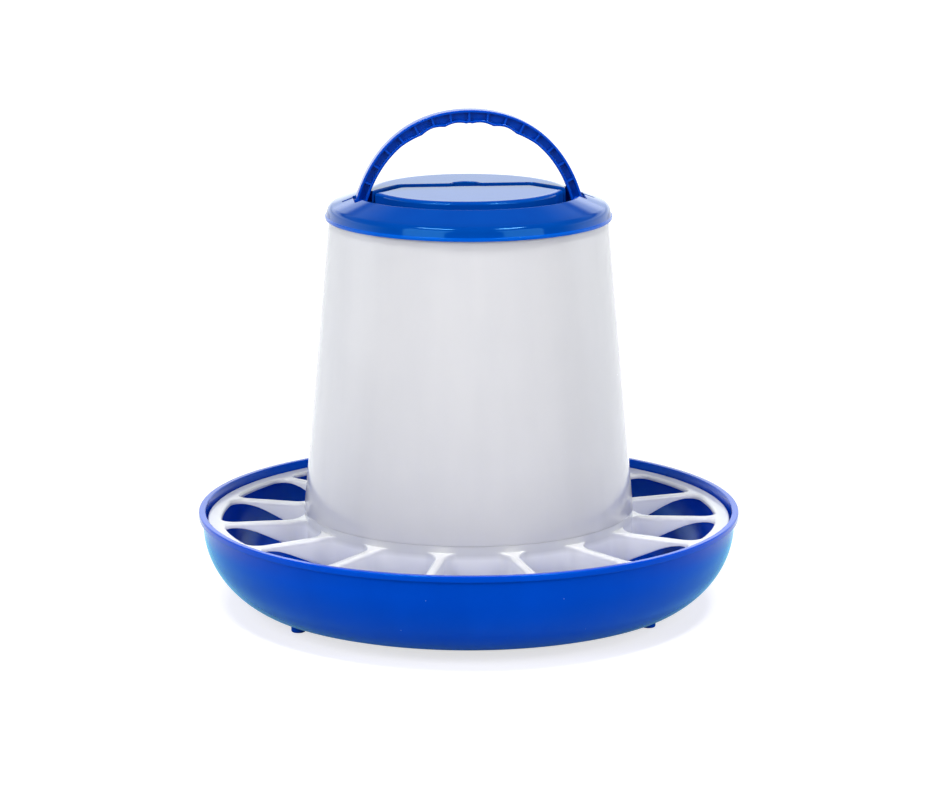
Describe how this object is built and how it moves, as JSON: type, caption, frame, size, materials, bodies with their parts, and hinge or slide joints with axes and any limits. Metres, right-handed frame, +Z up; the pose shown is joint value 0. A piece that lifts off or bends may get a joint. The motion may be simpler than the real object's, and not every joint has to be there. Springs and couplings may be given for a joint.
{
  "type": "poultry feeder",
  "caption": "Free-standing gravity feeder: blue pan on pegs, white spoked feeding grill, tapered milky hopper, shallow domed lid and a folding arched carry handle.",
  "frame": {"origin": "on the hopper's axis, at the ground under the pan's pegs", "axes": "+Z up along the hopper's axis, X along the handle's pivot, the handle folds towards -Y"},
  "size_m": [0.3794, 0.3794, 0.3515],
  "materials": {
    "pan_plastic": "glossy moulded polypropylene, royal blue",
    "grill_plastic": "semi-gloss moulded polypropylene, white",
    "hopper_plastic": "satin natural polypropylene, milky and faintly translucent",
    "lid_plastic": "high-gloss moulded polypropylene, royal blue",
    "handle_plastic": "glossy moulded polypropylene, royal blue"
  },
  "bodies": {
    "pan": {"feed_pan": "pan_plastic"},
    "grill": {"feeding_grill": "grill_plastic"},
    "tower": {"hopper": "hopper_plastic"},
    "cover": {"lid": "lid_plastic"},
    "handle": {"carry_handle": "handle_plastic"}
  },
  "joints": [
    {"name": "grill_twist", "type": "hinge", "parent": "pan", "child": "grill", "pos_m": [0, 0, 0.0614], "axis": [0, 0, 1], "range_deg": [0, 15]},
    {"name": "hopper_lift", "type": "slide", "parent": "grill", "child": "tower", "axis": [0, 0, 1], "range_m": [0, 0.06]},
    {"name": "lid_lift", "type": "slide", "parent": "tower", "child": "cover", "axis": [0, 0, 1], "range_m": [0, 0.12]},
    {"name": "handle_fold", "type": "hinge", "parent": "cover", "child": "handle", "pos_m": [0, 0, 0.2855], "axis": [1, 0, 0], "range_deg": [0, 90]}
  ]
}
